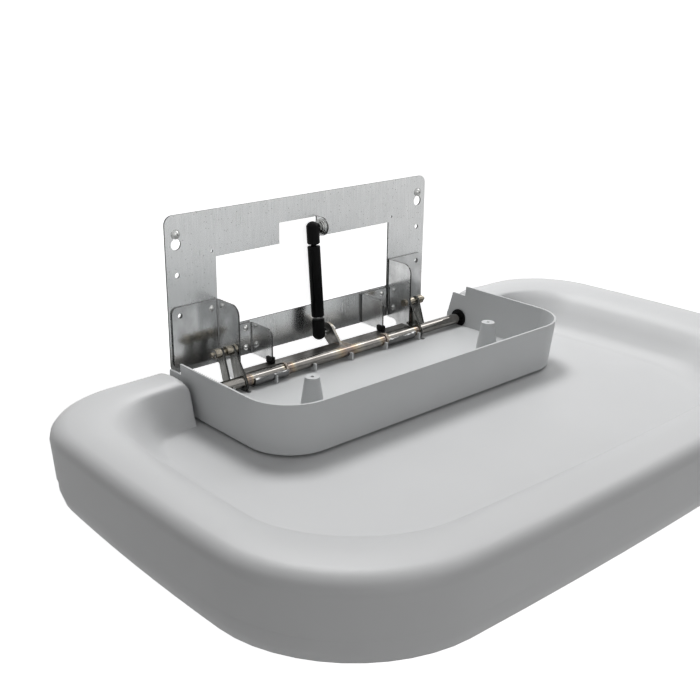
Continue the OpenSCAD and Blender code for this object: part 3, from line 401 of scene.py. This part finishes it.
galvanised = metal("galvanised sheet", light=(0.9, 0.91, 0.91), dark=(0.6, 0.61, 0.61),
                   stretch=(1.0, 1.0, 0.05), streaks=520.0, blotches=18.0, contrast=1.1,
                   specks=0.6, smooth=0.2, rough=0.32)
darken_cut_edges_and_shade_folds(galvanised, front_from=-0.02, sides=1.0)
dress(["wall_plate"], galvanised, edge_width=0.0003, whole_faces=True)

# The four angle brackets: zinc-plated sheet, folded, smoother than the plate, so
# that they mirror what is near them, and clinched to it with domed studs.
mottled = metal("mottled zinc", light=(0.9, 0.91, 0.91), dark=(0.42, 0.42, 0.42),
                stretch=(1.0, 1.0, 0.7), streaks=50.0, blotches=16.0, contrast=2.4,
                specks=0.3, smooth=0.12, rough=0.24, bump=0.02)
# Their cut edges are dark, and their folds get painted shade.
darken_cut_edges_and_shade_folds(mottled, front_from=-0.0405, sides=1.0, sides_from=-0.0054, fold_shade=0.7)
dress(["hinge_bracket_left", "hinge_bracket_right", "stop_bracket_left",
       "stop_bracket_right"], mottled, edge_width=0.0003)

# Fasteners: bright zinc-plated steel, turned and pressed, with rubbed edges. They
# are the brackets' studs, the screws, and the strut's ball studs with their nuts.
bright = metal("bright zinc", light=(0.7, 0.71, 0.7), dark=(0.3, 0.3, 0.29),
               stretch=(1.0, 1.0, 1.0), streaks=240.0, blotches=300.0, contrast=1.8,
               specks=0.1, smooth=0.14, rough=0.28)
dress(["bracket_rivets", "wall_screws", "upper_ball_stud", "upper_stud_washers",
       "upper_stud_nut", "lower_stud_nut", "lower_ball_stud", "tray_screws",
       "shell_screws"], bright, edge_width=0.0002)

# The hinge pins with their collars and washers: turned steel, whose zinc has yellowed
# and holds a film of grease. The clips that hold the pins have the brackets' finish.
yellowed = metal("yellowed zinc", light=(0.42, 0.39, 0.33), dark=(0.15, 0.13, 0.1),
                 stretch=(1.0, 1.0, 1.0), streaks=180.0, blotches=220.0, contrast=2.2,
                 specks=0.1, smooth=0.16, rough=0.32)
dress(["pin_left", "pin_right", "pin_collars", "pin_washers"], yellowed, edge_width=0.0002)
dress(["pin_clips"], mottled, edge_width=0.0003)

# The four hinge arms: bare steel plate, cut to a tear-drop shape, with dark edges.
# The pins hold them at the top, and their lower ends carry the hinge tube.
arm_steel = metal("arm steel", light=(0.33, 0.33, 0.32), dark=(0.12, 0.12, 0.11),
                  stretch=(1.0, 1.0, 0.3), streaks=160.0, blotches=60.0, contrast=2.2,
                  specks=0.3, smooth=0.2, rough=0.36)
darken_cut_edges_and_shade_folds(arm_steel, front_from=-1.0, sides=0.0, upright_sheet=1.0)
dress(["arm_left_outer", "arm_left_inner", "arm_right_inner", "arm_right_outer"], arm_steel,
      edge_width=0.0003)

# The hinge tube with its crank lever and stop bar: bare steel, polished on the tube. Welding
# left rings of straw, brown and blue heat tint on the tube beside the sleeves and the lever,
# and the tube has such a ring beside each inner arm too.
tint_scale, tint_wander = 120.0, 0.010
tint_middle = (0.17, 0.13, 0.12, 1.0)
tint_rim = (0.62, 0.60, 0.56, 1.0)
tint_between = ((0.2, (0.24, 0.16, 0.11, 1.0)), (0.42, (0.40, 0.28, 0.15, 1.0)),
                (0.68, (0.58, 0.50, 0.34, 1.0)))
tint_full_to, tint_weight = 0.3, 0.55
tube_welds = ((-0.088, 0.014), (0.088, 0.014), (0.0173, 0.032), (-0.155, 0.010),
              (0.155, 0.010))
lever_welds = ((0.0235, 0.007),)


def heat_tint_group():
    group, given, result = start_group(
        "heat tint", "ShaderNodeTree",
        (("Color", colour_socket), ("Weld X", value_socket), ("Reach", value_socket)),
        (("Color", colour_socket),))
    place = group.nodes.new("ShaderNodeTexCoord").outputs["Object"]
    split = group.nodes.new("ShaderNodeSeparateXYZ")
    feed(group, split.inputs[0], place)
    ragged = noise(group, place, tint_scale)
    wander = reckon(group, "MULTIPLY_ADD", ragged, tint_wander, -tint_wander / 2)
    moved = reckon(group, "ADD", split.outputs["X"], wander)
    apart = reckon(group, "SUBTRACT", moved, given.outputs["Weld X"])
    far = reckon(group, "ABSOLUTE", apart)
    share = reckon(group, "DIVIDE", far, given.outputs["Reach"], clamp=True)
    tints = group.nodes.new("ShaderNodeValToRGB")
    tints.color_ramp.elements[0].color = tint_middle
    tints.color_ramp.elements[1].color = tint_rim
    for spot, colour in tint_between:
        tints.color_ramp.elements.new(spot).color = colour
    feed(group, tints.inputs[0], share)
    weight = map_range(group, share, tint_full_to, 1.0, tint_weight, 0.0)
    tinted = mix(group, "RGBA", weight, given.outputs["Color"], tints.outputs[0])
    feed(group, result.inputs["Color"], tinted)
    return group


heat_tint = heat_tint_group()


def tint(material, welds):
    for weld_x, reach in welds:
        add_over_colour(material, heat_tint, {"Weld X": weld_x, "Reach": reach})


tube_steel = metal("tube steel", light=(0.4, 0.385, 0.365), dark=(0.13, 0.12, 0.11),
                   stretch=(0.06, 1.0, 1.0), streaks=120.0, blotches=50.0, contrast=1.8,
                   specks=0.2, smooth=0.06, rough=0.13, bump=0.005)
tint(tube_steel, tube_welds)
dress(["hinge_tube"], tube_steel, edge_width=0.0004)
lever_steel = metal("lever steel", light=(0.27, 0.262, 0.25), dark=(0.09, 0.086, 0.08),
                    stretch=(0.1, 1.0, 1.0), streaks=160.0, blotches=60.0, contrast=2.2,
                    specks=0.4, smooth=0.24, rough=0.4)
tint(lever_steel, lever_welds)
dress(["crank_lever", "stop_bar"], lever_steel, edge_width=0.0004)

# The two half sleeves that tie the tube to the stop bar: sheet pressed round the tube by
# hand, so the front has a shallow trough between two wavy creases.
tube_y, tube_z = -0.0632, -0.1128
sleeve_mid, sleeve_wall = 0.0091, 0.0021
sleeve_long, sleeve_start = 0.0555, 0.0922
sleeve_from, sleeve_sweep = math.radians(26.0), math.radians(228.0)
cells_long, cells_round, cells_thick = 44, 40, 2
sleeve_merge, sleeve_crease = 0.00002, math.radians(50.0)
trough_low, trough_high, trough_deep = 116.0, 168.0, 0.0019
crease_high, crease_wide = 0.0012, 6.0
slow_wave, slow_turns = 5.0, 9.0
quick_wave, quick_turns = 2.5, 23.0
far_wave_share = 0.6
end_depth, end_rise = 0.25, 5.0
sleeve_steel = metal("sleeve steel", light=(0.3, 0.3, 0.3), dark=(0.1, 0.1, 0.1),
                     stretch=(0.12, 1.0, 1.0), streaks=60.0, blotches=50.0, contrast=2.2,
                     specks=0.2, smooth=0.12, rough=0.22, bump=0.02)


def pressed_sleeve(name, side):
    bpy.ops.object.select_all(action="DESELECT")
    place = (side * (sleeve_start + sleeve_long / 2),
             tube_y + sleeve_mid * math.cos(sleeve_from),
             tube_z + sleeve_mid * math.sin(sleeve_from))
    bpy.ops.mesh.primitive_grid_add(x_subdivisions=cells_long, y_subdivisions=cells_thick,
                                    size=1.0, location=place,
                                    rotation=(sleeve_from, 0.0, 0.0))
    piece = bpy.context.object
    piece.name = name
    piece.scale = (sleeve_long, sleeve_wall, 1.0)
    bpy.ops.object.transform_apply(location=True, rotation=True, scale=True)
    bpy.ops.object.mode_set(mode="EDIT")
    bpy.ops.mesh.select_all(action="SELECT")
    bpy.ops.mesh.spin(steps=cells_round, angle=sleeve_sweep, center=(0.0, tube_y, tube_z),
                      axis=(1.0, 0.0, 0.0))
    bpy.ops.mesh.select_all(action="SELECT")
    bpy.ops.mesh.remove_doubles(threshold=sleeve_merge)
    bpy.ops.mesh.normals_make_consistent(inside=False)
    bpy.ops.object.mode_set(mode="OBJECT")

    # Only the sleeve's outer face is dented, and its bore keeps to the tube.
    for corner in piece.data.vertices:
        y, z = corner.co.y - tube_y, corner.co.z - tube_z
        radius, angle = math.hypot(y, z), math.degrees(math.atan2(z, y)) % 360.0
        if radius < sleeve_mid:
            continue
        along = (abs(corner.co.x) - sleeve_start) / sleeve_long
        wave = (slow_wave * math.sin(slow_turns * along + side)
                + quick_wave * math.sin(quick_turns * along))
        low, high = trough_low + wave, trough_high + far_wave_share * wave
        share = min(max((angle - low) / (high - low), 0.0), 1.0)
        ends = min(1.0, end_rise * min(along, 1.0 - along) + end_depth)
        dent = trough_deep * math.sin(math.pi * share) ** 2 * ends
        rise = sum(math.exp(-((angle - spot) / crease_wide) ** 2) for spot in (low, high))
        new_radius = radius - dent + crease_high * rise
        corner.co.y = tube_y + y * new_radius / radius
        corner.co.z = tube_z + z * new_radius / radius
    bpy.ops.object.shade_smooth_by_angle(angle=sleeve_crease)
    piece.data.materials.append(sleeve_steel)
    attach(piece, "bed")
    return piece


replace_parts(pressed_sleeve("sleeve_left", -1.0), "tube_sleeve_left")
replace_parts(pressed_sleeve("sleeve_right", 1.0), "tube_sleeve_right")

# The weld beads: small overlapping puddles of metal, laid by hand round the sleeves' inner
# ends, beside the lever's foot, and down the front edge of each cheek.
puddle_swell, swell_turn, swell_shift = 0.16, 2.4, 900.0
skin_voxel, easing, easing_rounds = 0.0003, 0.5, 2
end_x, end_radius, end_bead = 0.0918, 0.0088, 0.0013
front_x, front_radius, front_bead = 0.0935, 0.0092, 0.0017
lever_sides, lever_y, lever_z = (0.0153, 0.0193), -0.0535, -0.1052
lever_step, lever_puddles, lever_bead = 0.0013, 10, 0.0012
cheek_x, cheek_y, cheek_z = 0.1585, -0.0497, -0.1028
cheek_step, cheek_puddles, cheek_bead = 0.0012, 12, 0.0011
weld_metal = metal("weld metal", light=(0.46, 0.41, 0.36), dark=(0.12, 0.09, 0.07),
                   stretch=(1.0, 1.0, 1.0), streaks=420.0, blotches=240.0, contrast=2.6,
                   specks=0.4, smooth=0.26, rough=0.5, bump=0.3)


def weld_bead(name, runs, body):
    bpy.ops.object.select_all(action="DESELECT")
    puddles = []
    for points, radius in runs:
        for number, point in enumerate(points):
            turn = swell_turn * number + point[0] * swell_shift
            swell = 1.0 + puddle_swell * math.sin(turn)
            bpy.ops.mesh.primitive_ico_sphere_add(subdivisions=2, radius=radius * swell,
                                                  location=point)
            puddles.append(bpy.context.object)
    for puddle in puddles:
        puddle.select_set(True)
    bpy.ops.object.join()
    piece = bpy.context.object
    piece.name = name
    bpy.ops.object.transform_apply(location=True, rotation=True, scale=True)
    whole = piece.modifiers.new("one skin", "REMESH")
    whole.mode = "VOXEL"
    whole.voxel_size = skin_voxel
    bpy.ops.object.modifier_apply(modifier=whole.name)
    eased = piece.modifiers.new("eased", "SMOOTH")
    eased.factor = easing
    eased.iterations = easing_rounds
    bpy.ops.object.modifier_apply(modifier=eased.name)
    bpy.ops.object.shade_smooth()
    piece.data.materials.append(weld_metal)
    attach(piece, body)
    return piece


def ring_points(x, radius, low, high, count):
    turns = [math.radians(low + (high - low) * i / (count - 1)) for i in range(count)]
    return [(x, tube_y + radius * math.cos(t), tube_z + radius * math.sin(t)) for t in turns]


bed_runs = []
for side in (-1.0, 1.0):
    end_run = ring_points(side * end_x, end_radius, low=60.0, high=280.0, count=20)
    front_run = ring_points(side * front_x, front_radius, low=105.0, high=170.0, count=6)
    bed_runs.append((end_run, end_bead))
    bed_runs.append((front_run, front_bead))
for x in lever_sides:
    lever_run = [(x, lever_y + lever_step * i, lever_z) for i in range(lever_puddles)]
    bed_runs.append((lever_run, lever_bead))
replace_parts(weld_bead("weld_puddles", bed_runs, "bed"), "weld_beads")

cheek_runs = []
for side in (-1.0, 1.0):
    cheek_run = [(side * cheek_x, cheek_y, cheek_z + cheek_step * i)
                 for i in range(cheek_puddles)]
    cheek_runs.append((cheek_run, cheek_bead))
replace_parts(weld_bead("cheek_welds", cheek_runs, "wall_frame"), "arm_welds")

# The gas strut: a black painted steel cylinder, with a bright rod that runs through a guide
# to a piston inside it. Each end has a ball socket of moulded black plastic.
plastic_relief = 0.0005


def plastic(name, light, dark, grain, patches, smooth, rough, bump, specular=0.5):
    material = bpy.data.materials.new(name)
    material.use_nodes = True
    tree = material.node_tree
    shader = tree.nodes["Principled BSDF"]
    place = tree.nodes.new("ShaderNodeTexCoord").outputs["Object"]
    patch = noise(tree, place, patches, detail=4.0)
    tone = mix(tree, "RGBA", patch, (*dark, 1.0), (*light, 1.0))
    feed(tree, shader.inputs["Base Color"], tone)
    feed(tree, shader.inputs["Roughness"], map_range(tree, patch, 0.0, 1.0, smooth, rough))
    add_relief(tree, noise(tree, place, grain), bump, plastic_relief)
    shader.inputs["Specular IOR Level"].default_value = specular
    return material


satin_black = plastic("satin black paint", light=(0.004, 0.004, 0.0045),
                      dark=(0.002, 0.002, 0.002), grain=900.0, patches=40.0, smooth=0.08,
                      rough=0.16, bump=0.02, specular=0.07)
moulded_black = plastic("moulded black", light=(0.008, 0.008, 0.0085),
                        dark=(0.004, 0.004, 0.004), grain=1400.0, patches=60.0, smooth=0.26,
                        rough=0.38, bump=0.08, specular=0.06)
dress(["strut_cylinder"], satin_black, edge_width=0.0)
dress(["strut_rod"], bright, edge_width=0.0002)
dress(["strut_piston"], arm_steel, edge_width=0.0003)
dress(["strut_guide", "upper_socket", "lower_socket"], moulded_black, edge_width=0.0003)

# The bushes at the tube's ends and the pads on the stop brackets: the same black plastic.
# The bushes sit in the tray's ends, and the pads on the brackets' lower corners.
dress(["tube_bush_left", "tube_bush_right", "stop_pads"], moulded_black, edge_width=0.0003)

# The hinge tray: injection-moulded light grey plastic with a fine matt grain and
# softly rounded edges. It is screwed to the bed and carries the tube's ends.
tray_plastic = plastic("tray plastic", light=(0.56, 0.57, 0.575), dark=(0.53, 0.54, 0.545),
                       grain=2200.0, patches=14.0, smooth=0.42, rough=0.5, bump=0.1)
dress(["hinge_tray"], tray_plastic, edge_width=0.0009)

# The bed: two rotomoulded shells of light grey plastic, screwed together from below. Their
# bends are smooth, and only edges sharper than the crease angle stay crisp.
crease_angle = math.radians(42.0)
bed_plastic = plastic("bed plastic", light=(0.6, 0.605, 0.61), dark=(0.57, 0.575, 0.58),
                      grain=1500.0, patches=9.0, smooth=0.4, rough=0.5, bump=0.12)


def smooth_shell_group():
    group, given, result = start_group(
        "smooth shell", "GeometryNodeTree",
        (("Geometry", shape_socket),), (("Geometry", shape_socket),))
    crease = group.nodes.new("GeometryNodeSetShadeSmooth")
    crease.domain = "EDGE"
    crease.inputs["Shade Smooth"].default_value = False
    angle = group.nodes.new("GeometryNodeInputMeshEdgeAngle")
    sharp = group.nodes.new("FunctionNodeCompare")
    sharp.operation = "GREATER_THAN"
    sharp.inputs[1].default_value = crease_angle
    feed(group, sharp.inputs[0], angle.outputs[0])
    feed(group, crease.inputs["Geometry"], merged_and_smooth(group, given))
    feed(group, crease.inputs["Selection"], sharp.outputs[0])
    feed(group, result.inputs[0], crease.outputs[0])
    return group


def even_shading(piece):
    weighted = piece.modifiers.new("even shading", "WEIGHTED_NORMAL")
    weighted.keep_sharp = True


shell = nodes["bed_bottom_shell"]
shell.data.materials.clear()
shell.data.materials.append(bed_plastic)
soft = shell.modifiers.new("soft skin", "NODES")
soft.node_group = smooth_shell_group()
even_shading(shell)

# Moulding leaves the rim rolled over where the tray's notch cuts it, so the top shell is cut
# into narrow strips beside the notch and these are lowered along a quarter circle.
notch_side, notch_roll, notch_floor = 0.2645, 0.014, -0.1297
roll_cuts = (0.0004, 0.0012, 0.0024, 0.0040, 0.0060, 0.0084, 0.0110, 0.0140)
strips_from_y, strips_from_z = -0.3, -0.131
roll_from_y, roll_inside, roll_full_height = -0.275, -0.0035, 0.045

bpy.ops.object.select_all(action="DESELECT")
top_mesh = nodes["bed_top_shell"].data.copy()
bed_top = bpy.data.objects.new("bed_top", top_mesh)
bpy.context.collection.objects.link(bed_top)
bpy.context.view_layer.objects.active = bed_top
bed_top.select_set(True)
top_mesh.materials.clear()
top_mesh.materials.append(bed_plastic)
bpy.ops.object.mode_set(mode="EDIT")
bpy.ops.mesh.select_all(action="SELECT")
bpy.ops.mesh.remove_doubles(threshold=merge_distance)
for side in (-1.0, 1.0):
    for cut in roll_cuts:
        bpy.ops.object.mode_set(mode="OBJECT")
        for face in top_mesh.polygons:
            face.select = face.center.y > strips_from_y and face.center.z > strips_from_z
        bpy.ops.object.mode_set(mode="EDIT")
        bpy.ops.mesh.bisect(plane_co=(side * (notch_side + cut), 0.0, 0.0),
                            plane_no=(1.0, 0.0, 0.0))
bpy.ops.object.mode_set(mode="OBJECT")
for corner in top_mesh.vertices:
    beside = abs(corner.co.x) - notch_side
    if corner.co.y < roll_from_y or not roll_inside < beside < notch_roll:
        continue
    reach = notch_roll - max(beside, 0.0)
    sunk = notch_roll - math.sqrt(max(notch_roll ** 2 - reach ** 2, 0.0))
    share = min(max((corner.co.z - notch_floor) / roll_full_height, 0.0), 1.0)
    corner.co.z -= sunk * share
bpy.ops.object.shade_smooth_by_angle(angle=crease_angle)
even_shading(bed_top)
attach(bed_top, "bed")
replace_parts(bed_top, "bed_top_shell")
